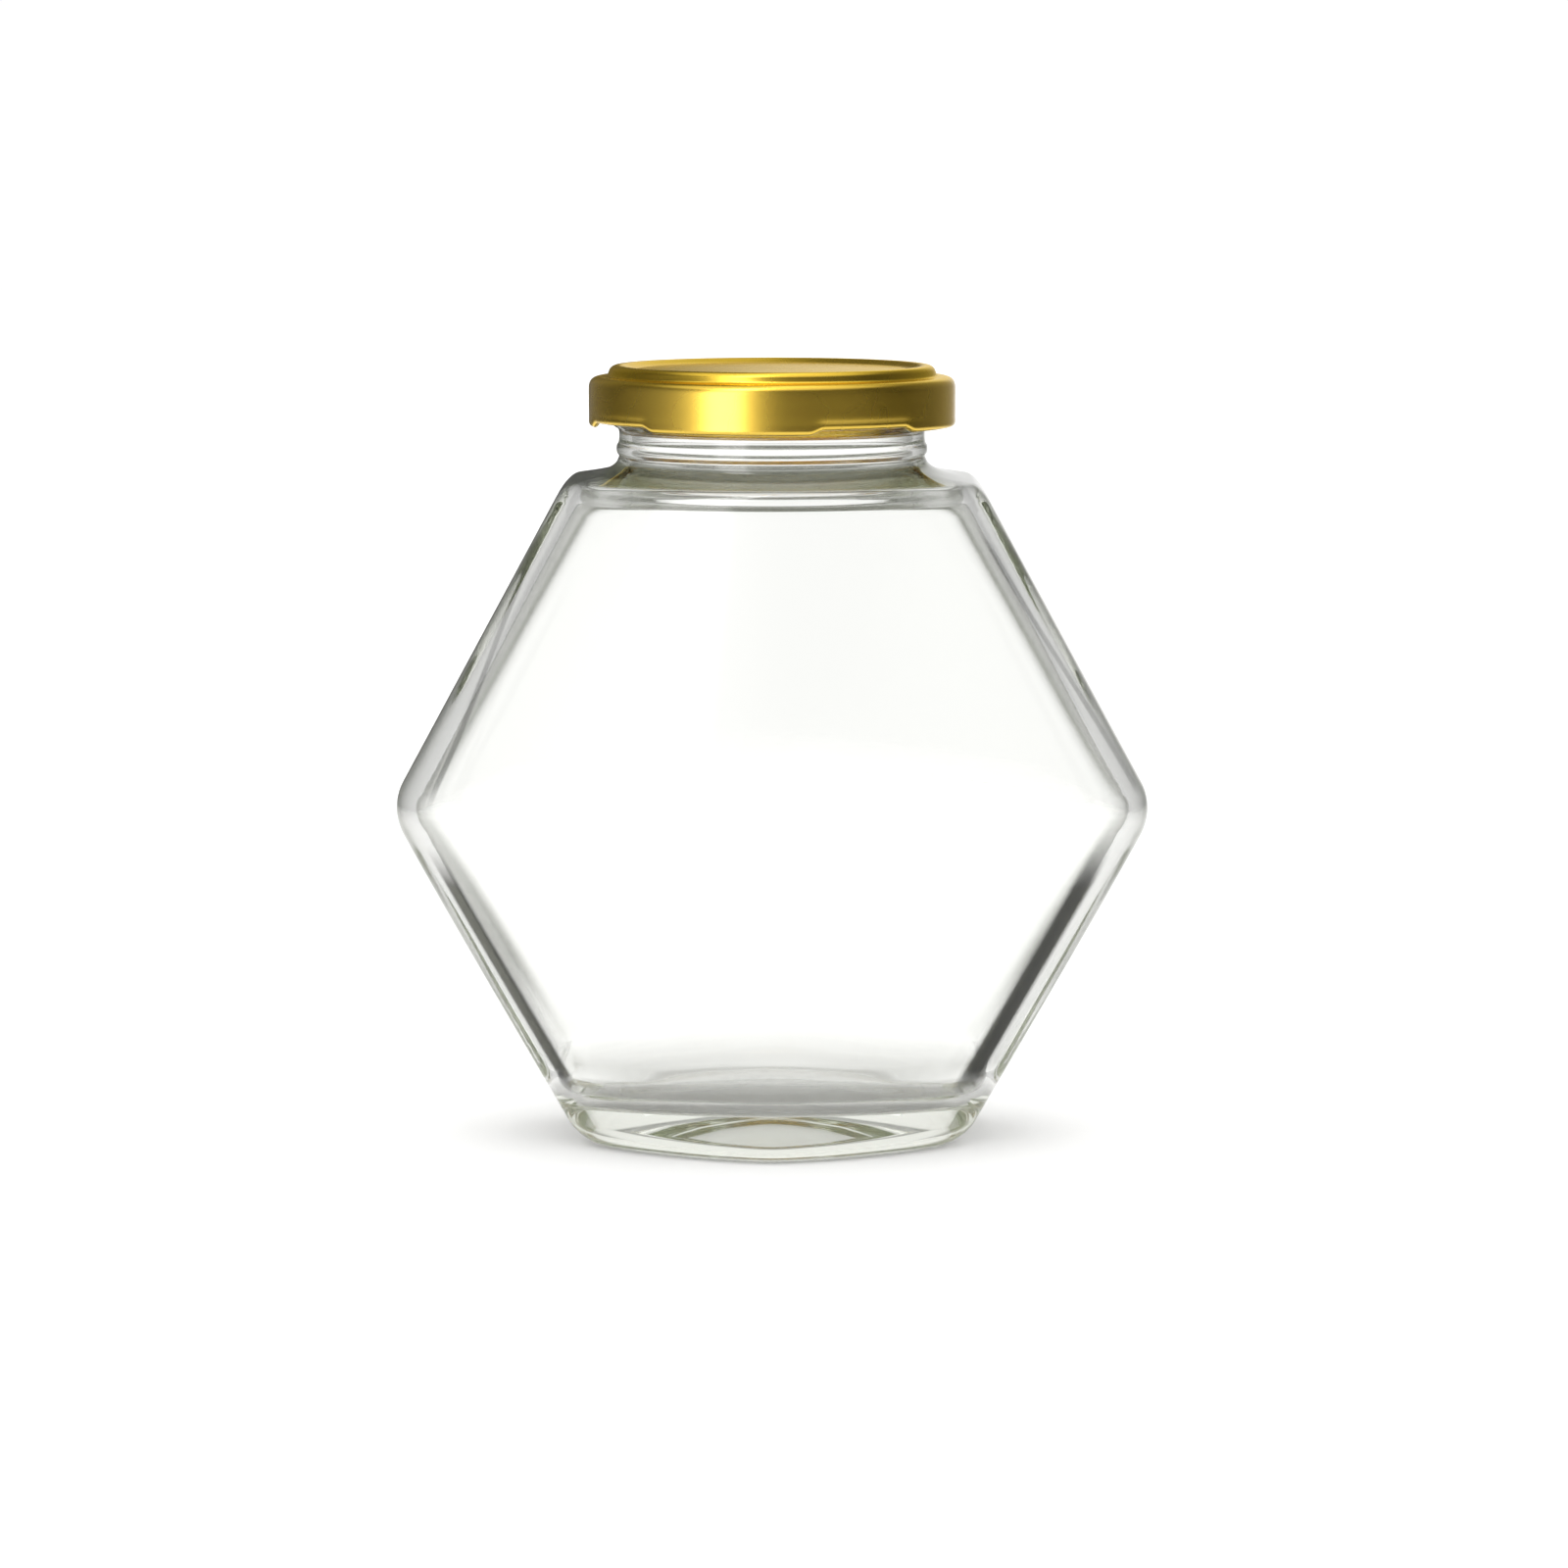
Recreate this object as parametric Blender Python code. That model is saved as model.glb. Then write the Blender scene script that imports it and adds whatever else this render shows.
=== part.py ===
"""A clear glass jar whose front outline is a hexagon, closed by a gold lug lid.

Metres, +Z up, front facing -Y, standing on Z = 0 with its axis on the Z axis.
"""

import math

import bpy
import numpy as np

MM = 0.001

# jar, millimetres
HEXAGON_SIDE = 64.0
BODY_HEIGHT = HEXAGON_SIDE * math.sqrt(3.0)
TIP_HALF_WIDTH = 63.2
SLANT_BELOW = 0.59
SLANT_ABOVE = 0.542
CORNER_RADIUS = 9.0
HALF_DEPTH = 32.0
TIP_BEYOND_SIDE = 3.0
TIP_ROUNDING = 8.0
BOW_AT_BASE = 1.5
BOW_AT_MIDDLE = 1.68
BOW_AT_SHOULDER = 1.8
SIDE_EDGE_SHARPNESS = 18.0
WALL_AT_SIDES = 3.3
WALL_AT_FRONT = 2.7
BASE_THICKNESS = 7.0
PUSH_UP = 1.6
HEEL_RADIUS = 4.0
SHOULDER_RADIUS = 3.0
INNER_HEEL_RADIUS = 6.5

# neck and finish, millimetres
NECK_RADIUS = 25.6
NECK_FOOT = 114.4
BEAD_RADIUS = 26.0
FINISH_RADIUS = 27.0
BORE_RADIUS = 23.5
LIP_TOP = 128.3
THREAD_RADIUS = 28.7
THREAD_UNDERSIDE = 121.95
THREAD_HEIGHT = 2.4
THREAD_FALL = 1.1
THREAD_SPAN = math.radians(62)

# lid, millimetres
LID_RADIUS = 30.6
LID_BOTTOM = 119.6
LID_TOP = 129.7
LID_SHOULDER = 127.8
PANEL_RING_RADIUS = 27.3
SHEET = 0.5
CURL_RADIUS = 0.62
LUG_REACH = 1.9
LUG_RISE = 0.8
LUG_NOTCH = math.radians(34)
LUG_TONGUE = math.radians(22)
LUG_COUNT = 4
FIRST_LUG = math.radians(-59)

JAR_COLUMNS = 60
LID_COLUMNS = 72


def slant(z):
    """How fast the half width falls with the distance from mid height."""
    return SLANT_ABOVE if z > BODY_HEIGHT / 2 else SLANT_BELOW


def hexagon_half_width(z, inset=0.0):
    """Half width of the hexagon at a height, its two corners at mid height rounded."""
    rise = abs(z - BODY_HEIGHT / 2)
    radius = max(CORNER_RADIUS - inset, 0.5)
    lean = math.hypot(1.0, slant(z))
    side = TIP_HALF_WIDTH + CORNER_RADIUS * (lean - 1.0) - inset * lean
    if rise >= radius * slant(z) / lean:
        return side - rise * slant(z)
    return side - radius * lean + math.sqrt(radius * radius - rise * rise)


def tip_half_width(z, inset=0.0):
    """Where the bowed front and back would meet at a height: a hyperbola that clears the hexagon."""
    rise = (z - BODY_HEIGHT / 2) * slant(z)
    start = HEXAGON_SIDE + TIP_BEYOND_SIDE + TIP_ROUNDING
    return start - math.hypot(rise, TIP_ROUNDING) - inset


def bow_exponent(z):
    """Exponent of the bowed front: nearly straight by the base, rounder by the shoulder."""
    height = (z - BODY_HEIGHT / 2) / (BODY_HEIGHT / 2)
    end = BOW_AT_BASE if height < 0 else BOW_AT_SHOULDER
    return BOW_AT_MIDDLE + (end - BOW_AT_MIDDLE) * min(height * height, 1.0)


def jar_angles():
    """Angles around the jar, closer together at its two narrow sides."""
    even = np.linspace(0.0, 2.0 * math.pi, JAR_COLUMNS, endpoint=False)
    return even - 0.225 * np.sin(2.0 * even)


def lug_centres():
    return FIRST_LUG + np.arange(LUG_COUNT) * 2.0 * math.pi / LUG_COUNT - math.pi / 2


def window(angles, centres, span, edge):
    """One within span of a centre, zero beyond it, with a smooth edge."""
    apart = (angles[:, None] - centres[None, :] + math.pi) % (2.0 * math.pi) - math.pi
    nearest = np.abs(apart).min(axis=1)
    step = np.clip((span / 2 + edge / 2 - nearest) / edge, 0.0, 1.0)
    return step * step * (3.0 - 2.0 * step)


def nearest_offset(angles, centres):
    apart = (angles[:, None] - centres[None, :] + math.pi) % (2.0 * math.pi) - math.pi
    return np.take_along_axis(apart, np.abs(apart).argmin(axis=1)[:, None], axis=1)[:, 0]


def body_radii(angles, z, side_inset=0.0, front_inset=0.0, tip_inset=0.0):
    """Distance from the axis: a bowed front and back cut by the two side planes."""
    width = hexagon_half_width(z, side_inset)
    tip = max(tip_half_width(z, tip_inset), width + 0.4)
    depth = HALF_DEPTH - front_inset
    power = bow_exponent(z)
    across = np.abs(np.cos(angles))
    along = np.abs(np.sin(angles))
    bowed = ((across / tip) ** power + (along / depth) ** power) ** (1.0 / power)
    sharp = SIDE_EDGE_SHARPNESS
    plane = (width ** -sharp - tip ** -sharp) ** (1.0 / sharp) * across
    return (plane ** sharp + bowed ** sharp) ** (-1.0 / sharp)


def ring(angles, radii, z):
    return np.column_stack([radii * np.cos(angles), radii * np.sin(angles), z + 0.0 * angles])


def quarter(steps, first=0):
    return [math.radians(90.0 * k / steps) for k in range(first, steps + 1)]


def outside_rings(angles):
    rings = []
    foot = body_radii(angles, 0.0, HEEL_RADIUS * 0.9, HEEL_RADIUS, HEEL_RADIUS * 0.9)
    rings.append(ring(angles, foot * 0.45, PUSH_UP))
    rings.append(ring(angles, foot * 0.72, PUSH_UP * 0.55))
    rings.append(ring(angles, foot * 0.86, 0.0))
    for turn in quarter(5):
        z = HEEL_RADIUS * (1.0 - math.cos(turn))
        drawn = HEEL_RADIUS * (1.0 - math.sin(turn))
        rings.append(ring(angles, body_radii(angles, z, 0.9 * drawn, drawn, 0.9 * drawn), z))
    half = BODY_HEIGHT / 2
    top = BODY_HEIGHT - SHOULDER_RADIUS
    corner = CORNER_RADIUS / 2
    lower = list(np.linspace(HEEL_RADIUS, half - corner, 7)[1:])
    round_mid = [half - corner * 0.5, half, half + corner * 0.5]
    upper = list(np.linspace(half + corner, top, 7))
    for z in lower + round_mid + upper:
        rings.append(ring(angles, body_radii(angles, z), z))
    for turn in quarter(4, 1):
        z = top + SHOULDER_RADIUS * math.sin(turn)
        drawn = SHOULDER_RADIUS * (1.0 - math.cos(turn))
        rings.append(ring(angles, body_radii(angles, z, 0.4 * drawn, drawn, 0.4 * drawn), z))
    edge = body_radii(angles, BODY_HEIGHT, 0.4 * SHOULDER_RADIUS, SHOULDER_RADIUS, 0.4 * SHOULDER_RADIUS)
    for share, z in ((0.4, 111.5), (0.72, 112.3), (0.92, 113.3)):
        rings.append(ring(angles, edge + share * (NECK_RADIUS - edge), z))
    return rings


def finish_rings(angles):
    """The neck and its finish, with one sloping thread ramp above each lug of the lid."""
    centres = lug_centres()
    on_ramp = window(angles, centres, THREAD_SPAN, math.radians(12))
    fall = THREAD_FALL * nearest_offset(angles, centres) / THREAD_SPAN * on_ramp
    ramp = (THREAD_RADIUS - FINISH_RADIUS) * on_ramp
    base = THREAD_UNDERSIDE
    rings = [
        ring(angles, NECK_RADIUS, NECK_FOOT),
        ring(angles, BEAD_RADIUS, 115.2),
        ring(angles, BEAD_RADIUS, 116.4),
        ring(angles, NECK_RADIUS, 117.2),
        ring(angles, NECK_RADIUS, 119.0),
        ring(angles, FINISH_RADIUS, 120.0),
        ring(angles, FINISH_RADIUS, base - 0.55 + fall),
        ring(angles, FINISH_RADIUS + 0.85 * ramp, base + fall),
        ring(angles, FINISH_RADIUS + ramp, base + 0.5 + fall),
        ring(angles, FINISH_RADIUS + ramp, base + 0.6 * THREAD_HEIGHT + fall),
        ring(angles, FINISH_RADIUS, base + THREAD_HEIGHT + fall),
        ring(angles, FINISH_RADIUS, 126.6),
        ring(angles, FINISH_RADIUS - 0.6, 127.7),
        ring(angles, FINISH_RADIUS - 1.6, LIP_TOP),
        ring(angles, BORE_RADIUS + 0.9, LIP_TOP),
        ring(angles, BORE_RADIUS, LIP_TOP - 0.9),
    ]
    return rings


def inside_rings(angles):
    """The bore and the hollow, from the lip down to the floor."""
    rings = [ring(angles, BORE_RADIUS, NECK_FOOT)]
    top = BODY_HEIGHT - 3.6
    spread = 2.2 * WALL_AT_FRONT
    roof = body_radii(angles, top, WALL_AT_SIDES, WALL_AT_FRONT, spread)
    for share, z in ((0.1, 112.0), (0.3, 110.6), (0.62, 109.6), (0.88, 108.8)):
        rings.append(ring(angles, BORE_RADIUS + share * (roof - BORE_RADIUS), z))
    half = BODY_HEIGHT / 2
    corner = (CORNER_RADIUS - WALL_AT_SIDES) / 2
    floor = BASE_THICKNESS + INNER_HEEL_RADIUS
    upper = list(np.linspace(top, half + corner, 6))
    lower = list(np.linspace(half - corner, floor, 6))
    for z in upper + [half] + lower:
        rings.append(ring(angles, body_radii(angles, z, WALL_AT_SIDES, WALL_AT_FRONT, spread), z))
    wall = body_radii(angles, floor, WALL_AT_SIDES, WALL_AT_FRONT, spread)
    for turn in quarter(5, 1):
        z = floor - INNER_HEEL_RADIUS * math.sin(turn)
        drawn = INNER_HEEL_RADIUS * (1.0 - math.cos(turn))
        rings.append(ring(angles, wall - drawn * (1.0 - 0.1 * np.cos(angles) ** 2), z))
    rings.append(ring(angles, 0.5 * wall, BASE_THICKNESS + 0.7))
    return rings


def lid_rings(angles):
    """Panel, raised ring, skirt and curled edge, then back along the underside."""
    centres = lug_centres()
    notch = window(angles, centres, LUG_NOTCH, math.radians(7))
    tongue = window(angles, centres, LUG_TONGUE, math.radians(8))
    lift = LUG_RISE * notch
    reach = LUG_REACH * tongue
    low = LID_BOTTOM + lift
    outer = LID_RADIUS - 0.1 * notch
    inner = LID_RADIUS - SHEET
    lip = LID_RADIUS - 2.0 * CURL_RADIUS - reach
    high = LID_TOP
    step = LID_SHOULDER
    raised = PANEL_RING_RADIUS
    return [
        ring(angles, 22.4, high - 0.75),
        ring(angles, 24.0, high - 0.45),
        ring(angles, 24.9, high - 0.08),
        ring(angles, 25.8, high),
        ring(angles, raised - 0.5, high - 0.3),
        ring(angles, raised, high - 1.0),
        ring(angles, raised + 0.5, step + 0.15),
        ring(angles, raised + 1.4, step),
        ring(angles, LID_RADIUS - 1.0, step - 0.12),
        ring(angles, LID_RADIUS - 0.3, step - 0.6),
        ring(angles, LID_RADIUS, step - 1.4),
        ring(angles, LID_RADIUS, LID_BOTTOM + 2.4),
        ring(angles, outer, low + CURL_RADIUS),
        ring(angles, outer - 0.18, low + 0.18),
        ring(angles, outer - CURL_RADIUS, low),
        ring(angles, lip + 0.15, low + 0.1),
        ring(angles, lip, low + 0.5),
        ring(angles, lip + 0.2, low + 0.95),
        ring(angles, inner - 0.2, low + 1.3),
        ring(angles, inner, low + 1.9),
        ring(angles, inner, step - 1.6),
        ring(angles, inner - 0.35, step - 0.95),
        ring(angles, inner - 1.0, step - SHEET - 0.1),
        ring(angles, raised + 0.3, step - SHEET + 0.1),
        ring(angles, raised - SHEET, step + 0.4),
        ring(angles, raised - 0.9, high - 0.75),
        ring(angles, 25.7, high - 0.52),
        ring(angles, 24.6, high - 0.7),
        ring(angles, 22.4, high - 1.2),
    ]


def closed_loft(name, rings, first_centre, last_centre, material):
    """One closed surface: a fan, a strip between each two rings, and a fan."""
    count = len(rings[0])
    points = [(0.0, 0.0, first_centre)]
    for one in rings:
        points.extend(map(tuple, one))
    points.append((0.0, 0.0, last_centre))
    faces = []
    for k in range(count):
        faces.append((0, 1 + (k + 1) % count, 1 + k))
    for level in range(len(rings) - 1):
        start = 1 + level * count
        for k in range(count):
            here = start + k
            beside = start + (k + 1) % count
            faces.append((here, beside, beside + count, here + count))
    last = 1 + (len(rings) - 1) * count
    for k in range(count):
        faces.append((last + k, last + (k + 1) % count, len(points) - 1))
    mesh = bpy.data.meshes.new(name)
    mesh.from_pydata((np.array(points) * MM).tolist(), [], faces)
    mesh.materials.append(material)
    obj = bpy.data.objects.new(name, mesh)
    bpy.context.scene.collection.objects.link(obj)
    return obj


def material(name, colour, metallic, roughness, transmission):
    made = bpy.data.materials.new(name)
    made.use_nodes = True
    shader = made.node_tree.nodes["Principled BSDF"]
    shader.inputs["Base Color"].default_value = (*colour, 1.0)
    shader.inputs["Metallic"].default_value = metallic
    shader.inputs["Roughness"].default_value = roughness
    shader.inputs["Transmission Weight"].default_value = transmission
    return made


def main():
    for old in list(bpy.data.objects):
        bpy.data.objects.remove(old, do_unlink=True)
    glass = material("clear_glass", (0.93, 0.96, 0.93), 0.0, 0.02, 1.0)
    gold = material("gold_lacquer", (0.72, 0.50, 0.14), 1.0, 0.3, 0.0)
    angles = jar_angles()
    body = outside_rings(angles) + finish_rings(angles) + inside_rings(angles)
    closed_loft("jar_glass", body, PUSH_UP, BASE_THICKNESS + 1.0, glass)
    around = np.linspace(0.0, 2.0 * math.pi, LID_COLUMNS, endpoint=False)
    lid = lid_rings(around)[::-1]
    lid_bottom = LID_TOP - 1.2
    lid_top = LID_TOP - 0.75
    closed_loft("lid", lid, lid_bottom, lid_top, gold)


main()
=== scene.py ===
import math

import bpy
import numpy as np
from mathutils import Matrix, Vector


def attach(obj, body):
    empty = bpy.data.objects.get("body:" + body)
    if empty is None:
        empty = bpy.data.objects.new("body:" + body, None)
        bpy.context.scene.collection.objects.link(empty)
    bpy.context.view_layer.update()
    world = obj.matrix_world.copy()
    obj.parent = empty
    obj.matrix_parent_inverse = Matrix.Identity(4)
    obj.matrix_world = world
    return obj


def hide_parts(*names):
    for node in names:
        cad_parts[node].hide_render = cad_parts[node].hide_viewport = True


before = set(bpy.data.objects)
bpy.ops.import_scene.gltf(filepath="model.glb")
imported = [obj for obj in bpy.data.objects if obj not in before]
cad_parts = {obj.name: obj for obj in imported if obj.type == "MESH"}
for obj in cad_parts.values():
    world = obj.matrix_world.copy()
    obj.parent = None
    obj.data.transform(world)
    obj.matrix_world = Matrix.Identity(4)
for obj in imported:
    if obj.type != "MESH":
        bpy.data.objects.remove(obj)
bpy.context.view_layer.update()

bl_info = {
    "name": "Hexagonal Glass Jar",
    "version": (1, 0, 0),
    "blender": (4, 5, 0),
    "location": "3D View > Sidebar > Jar",
    "description": "Makes a clear six-sided glass jar with a gold lug lid, and a pale studio round it",
    "category": "Add Mesh",
}

MM = 0.001
SIN_60 = math.sin(math.pi / 3)

# How far the outline narrows for each unit below mid height, and for each unit above it.
SLANT_BELOW = 0.59
SLANT_ABOVE = 0.542

# Millimetres, and the same as in the solids.
TIP_IN_FROM_SIDE = 0.8
HEEL_RADIUS = 4.0
SHOULDER_RADIUS = 3.0
INNER_HEEL_RADIUS = 6.5
CORNER_RADIUS = 9.0
NECK_RADIUS = 25.6
BORE_RADIUS = 23.5
FINISH_RADIUS = 27.0
THREAD_RADIUS = 28.7
THREAD_FALL = 1.1
PUSH_UP = 1.15
FLOOR_CROWN = 1.0
LID_PANEL_TOP = 128.95
LID_PANEL_UNDERSIDE = 128.5
LUG_PRESSED_IN = 1.9
CURL_LIFT = 0.8
CURL_PULLED_IN = 0.12

THREAD_SPAN = math.radians(62)
FIRST_LUG = math.radians(-149)
LUG_COUNT = 4

# How much of the heel's and the shoulder's turn the slanted sides take part in.
HEEL_SHARE = 0.9
SHOULDER_SHARE = 0.4

# Steps round the axis, and the powers that set how tight the edge beside each slanted side is.
JAR_COLUMNS = 256
LID_COLUMNS = 360
OUTER_SHARPNESS = 28.0
INNER_SHARPNESS = 30.0

# The underside's rows, which are stippled, and the last of them over which the stipple fades.
STIPPLED_ROWS = 26.0
STIPPLE_FADE = 5.0

# Colours of the glass: its own seen straight on, then painted shade at a grazing angle, in a dark ring
# on the shoulder, and in dark lines on the front.
CLEAR = (0.99, 0.993, 0.985, 1.0)
PAINTED_EDGE_SHADE = (0.12, 0.125, 0.105, 1.0)
PAINTED_RING_SHADE = (0.03, 0.036, 0.0, 1.0)
PAINTED_FRONT_SHADE = (0.012, 0.0125, 0.0085, 1.0)

# The studio light as pairs of place and strength. Places run from straight down to straight up.
SEEN_THROUGH = [
    (0.0, 1.03), (0.6, 1.03), (0.63, 0.42), (0.7, 0.44), (0.76, 0.65), (0.9, 0.75), (1.0, 0.85)]
REFLECTED_BY_HEIGHT = [(0.0, 1.0), (0.72, 1.0), (0.82, 0.5), (0.9, 1.4), (1.0, 1.6)]
REFLECTED_OVERHEAD = [(0.0, 0.0), (0.88, 0.0), (0.94, 0.9), (1.0, 1.2)]
RAMP_FULL = 8.0

FLOOR_HALF = 4.0
FLOOR_CELLS = 12
FLOOR_BELOW = 0.00002

# The photograph: millimetres for each pixel at the jar's axis, and the rest in its pixels.
PHOTO_PIXEL = 0.165
PHOTO_WIDTH = 1600.0
CAMERA_AWAY = 5700.0
TARGET_RIGHT = 12.0
TARGET_UP = 358.8
SENSOR_WIDTH = 36.0


class JarGlassSettings(bpy.types.PropertyGroup):
    side: bpy.props.FloatProperty(
        name="Hexagon side", description="Side of the hexagonal front outline",
        default=0.064, min=0.02, max=0.2, unit="LENGTH")
    depth: bpy.props.FloatProperty(
        name="Depth", description="Front to back, through the middle",
        default=0.064, min=0.02, max=0.2, unit="LENGTH")
    wall_sides: bpy.props.FloatProperty(
        name="Side wall", description="Glass thickness along the four slanted sides",
        default=0.0033, min=0.001, max=0.01, unit="LENGTH")
    wall_front: bpy.props.FloatProperty(
        name="Front wall", description="Glass thickness of the bowed front and back",
        default=0.0027, min=0.001, max=0.01, unit="LENGTH")
    base: bpy.props.FloatProperty(
        name="Base", description="Glass thickness of the floor",
        default=0.007, min=0.002, max=0.02, unit="LENGTH")
    tint: bpy.props.FloatVectorProperty(
        name="Tint", description="Colour that the glass keeps over a long path",
        default=(0.84, 0.86, 0.77), size=3, min=0.0, max=1.0, subtype="COLOR")


class LidSettings(bpy.types.PropertyGroup):
    radius: bpy.props.FloatProperty(
        name="Radius", description="Outer radius of the skirt",
        default=0.0306, min=0.01, max=0.1, unit="LENGTH")
    lacquer: bpy.props.FloatVectorProperty(
        name="Lacquer", description="Colour of the gold lacquer",
        default=(0.74, 0.50, 0.055), size=3, min=0.0, max=1.0, subtype="COLOR")
    roughness: bpy.props.FloatProperty(
        name="Roughness", description="How satin the lacquer is",
        default=0.27, min=0.02, max=1.0, subtype="FACTOR")


class StageSettings(bpy.types.PropertyGroup):
    floor: bpy.props.FloatVectorProperty(
        name="Floor", description="Colour of the floor",
        default=(0.90, 0.90, 0.895), size=3, min=0.0, max=1.0, subtype="COLOR")
    ceiling: bpy.props.FloatProperty(
        name="Ceiling light", description="Strength of the soft light overhead",
        default=1.8, min=0.0, max=8.0)
    softbox: bpy.props.FloatProperty(
        name="Softbox", description="Strength of the tall softbox left of the camera",
        default=4.6, min=0.0, max=8.0)


def mesh_from_grid(name, grid, first_pole, last_pole):
    """A closed surface from rows of points: quads between rows, and a fan to a pole at each end."""
    rows, columns = grid.shape[:2]
    points = np.concatenate([grid.reshape(-1, 3), [first_pole, last_pole]]) * MM
    row, column = np.meshgrid(np.arange(rows - 1), np.arange(columns), indexing="ij")
    beside = (column + 1) % columns
    quads = np.stack([
        row * columns + column,
        row * columns + beside,
        (row + 1) * columns + beside,
        (row + 1) * columns + column,
    ], axis=-1).reshape(-1, 4)
    around = np.arange(columns)
    onward = (around + 1) % columns
    first = np.stack([onward, around, np.full(columns, rows * columns)], axis=-1)
    end = (rows - 1) * columns
    last = np.stack([end + around, end + onward, np.full(columns, rows * columns + 1)], axis=-1)
    mesh = bpy.data.meshes.new(name)
    corners = np.concatenate([quads.ravel(), first.ravel(), last.ravel()])
    totals = np.concatenate([np.full(len(quads), 4), np.full(2 * columns, 3)])
    starts = np.concatenate([[0], np.cumsum(totals)[:-1]])
    mesh.vertices.add(len(points))
    mesh.vertices.foreach_set("co", points.ravel())
    mesh.loops.add(len(corners))
    mesh.loops.foreach_set("vertex_index", corners)
    mesh.polygons.add(len(totals))
    mesh.polygons.foreach_set("loop_start", starts)
    mesh.polygons.foreach_set("use_smooth", np.ones(len(totals), dtype=bool))
    mesh.update(calc_edges=True)
    mesh.validate()
    return place_mesh(mesh)


def place_mesh(mesh):
    """An object of the mesh's name, at the origin, in the scene."""
    obj = bpy.data.objects.new(mesh.name, mesh)
    bpy.context.scene.collection.objects.link(obj)
    return obj


def smooth_path(points, steps):
    """A curve through the points. Between each two runs the cubic whose ends lean along the chord
    of their neighbours."""
    points = np.asarray(points, dtype=float)
    before = np.concatenate([[2 * points[0] - points[1]], points[:-2]])
    here, there = points[:-1], points[1:]
    after = np.concatenate([points[2:], [2 * points[-1] - points[-2]]])
    t = np.linspace(0.0, 1.0, steps, endpoint=False)[None, :, None]
    a, b, c, d = (one[:, None, :] for one in (before, here, there, after))
    curve = 0.5 * (
        2 * b + (c - a) * t + (2 * a - 5 * b + 4 * c - d) * t ** 2
        + (3 * b - a - 3 * c + d) * t ** 3)
    return np.concatenate([curve.reshape(-1, points.shape[1]), points[-1:]])


def ease(value):
    """Zero below 0, one above 1, and an S-curve between."""
    step = np.clip(value, 0.0, 1.0)
    return step * step * (3.0 - 2.0 * step)


def offset_from_lug(angles):
    """Signed angle from the nearest of the equally spaced lugs."""
    pitch = 2.0 * math.pi / LUG_COUNT
    return (angles - FIRST_LUG + pitch / 2) % pitch - pitch / 2


def window(angles, span, edge):
    """One within half a span of a lug, and zero further off, with an S-shaped edge."""
    return ease((span / 2 + edge / 2 - np.abs(offset_from_lug(angles))) / edge)


class JarForm:
    """The jar's section at any height, in millimetres, with its sizes read from the settings."""

    def __init__(self, settings):
        self.side = settings.side / MM
        self.height = 2.0 * SIN_60 * self.side
        self.half_depth = settings.depth / MM / 2
        self.wall_sides = settings.wall_sides / MM
        self.wall_front = settings.wall_front / MM
        self.base = settings.base / MM

    def half_width(self, z, inset):
        """Half width at mid height less the slant times the rise, and a circle's arc where the
        slants meet."""
        rise = np.abs(z - self.height / 2)
        slant = np.where(z > self.height / 2, SLANT_ABOVE, SLANT_BELOW)
        lean = np.hypot(1.0, slant)
        radius = np.maximum(CORNER_RADIUS - inset, 0.5)
        side = self.side - TIP_IN_FROM_SIDE + CORNER_RADIUS * (lean - 1.0) - inset * lean
        arc = side - radius * lean + np.sqrt(np.maximum(radius ** 2 - rise ** 2, 0.0))
        return np.where(rise < radius * slant / lean, arc, side - rise * slant)

    def tip_width(self, z, inset):
        """A hyperbola that stays a few millimetres outside the slanted sides."""
        rise = (z - self.height / 2) * np.where(z > self.height / 2, SLANT_ABOVE, SLANT_BELOW)
        return self.side + 11.0 - np.hypot(rise, 8.0) - inset

    def bow(self, z):
        """Exponent of the bowed front: 1.68 at the middle, 1.5 by the base, 1.8 by the shoulder."""
        height = np.clip((z - self.height / 2) / (self.height / 2), -1.0, 1.0)
        return 1.68 + np.where(height < 0, -0.18, 0.12) * height ** 2

    def radii(self, angles, z, side_inset, front_inset, tip_inset, sharpness):
        """Distance from the axis at each height and angle: a superellipse for the bowed front and
        back, cut by the two side planes, the two joined by a power mean so that their edge is
        rounded."""
        angles = angles[None, :]
        z, side_inset, front_inset, tip_inset = (
            np.asarray(one, dtype=float).reshape(-1, 1)
            for one in (z, side_inset, front_inset, tip_inset))
        width = self.half_width(z, side_inset)
        tip = np.maximum(self.tip_width(z, tip_inset), width + 0.4)
        power = self.bow(z)
        across, along = np.abs(np.cos(angles)), np.abs(np.sin(angles))
        depth = self.half_depth - front_inset
        bowed = ((across / tip) ** power + (along / depth) ** power) ** (1.0 / power)
        plane = (width ** -sharpness - tip ** -sharpness) ** (1.0 / sharpness) * across
        return (plane ** sharpness + bowed ** sharpness) ** (-1.0 / sharpness)


def as_rings(angles, radii, z):
    """Points at the given radii and heights round the axis, one row for each height."""
    z = np.broadcast_to(np.asarray(z, dtype=float), radii.shape)
    return np.stack([radii * np.cos(angles), radii * np.sin(angles), z], axis=-1)


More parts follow.
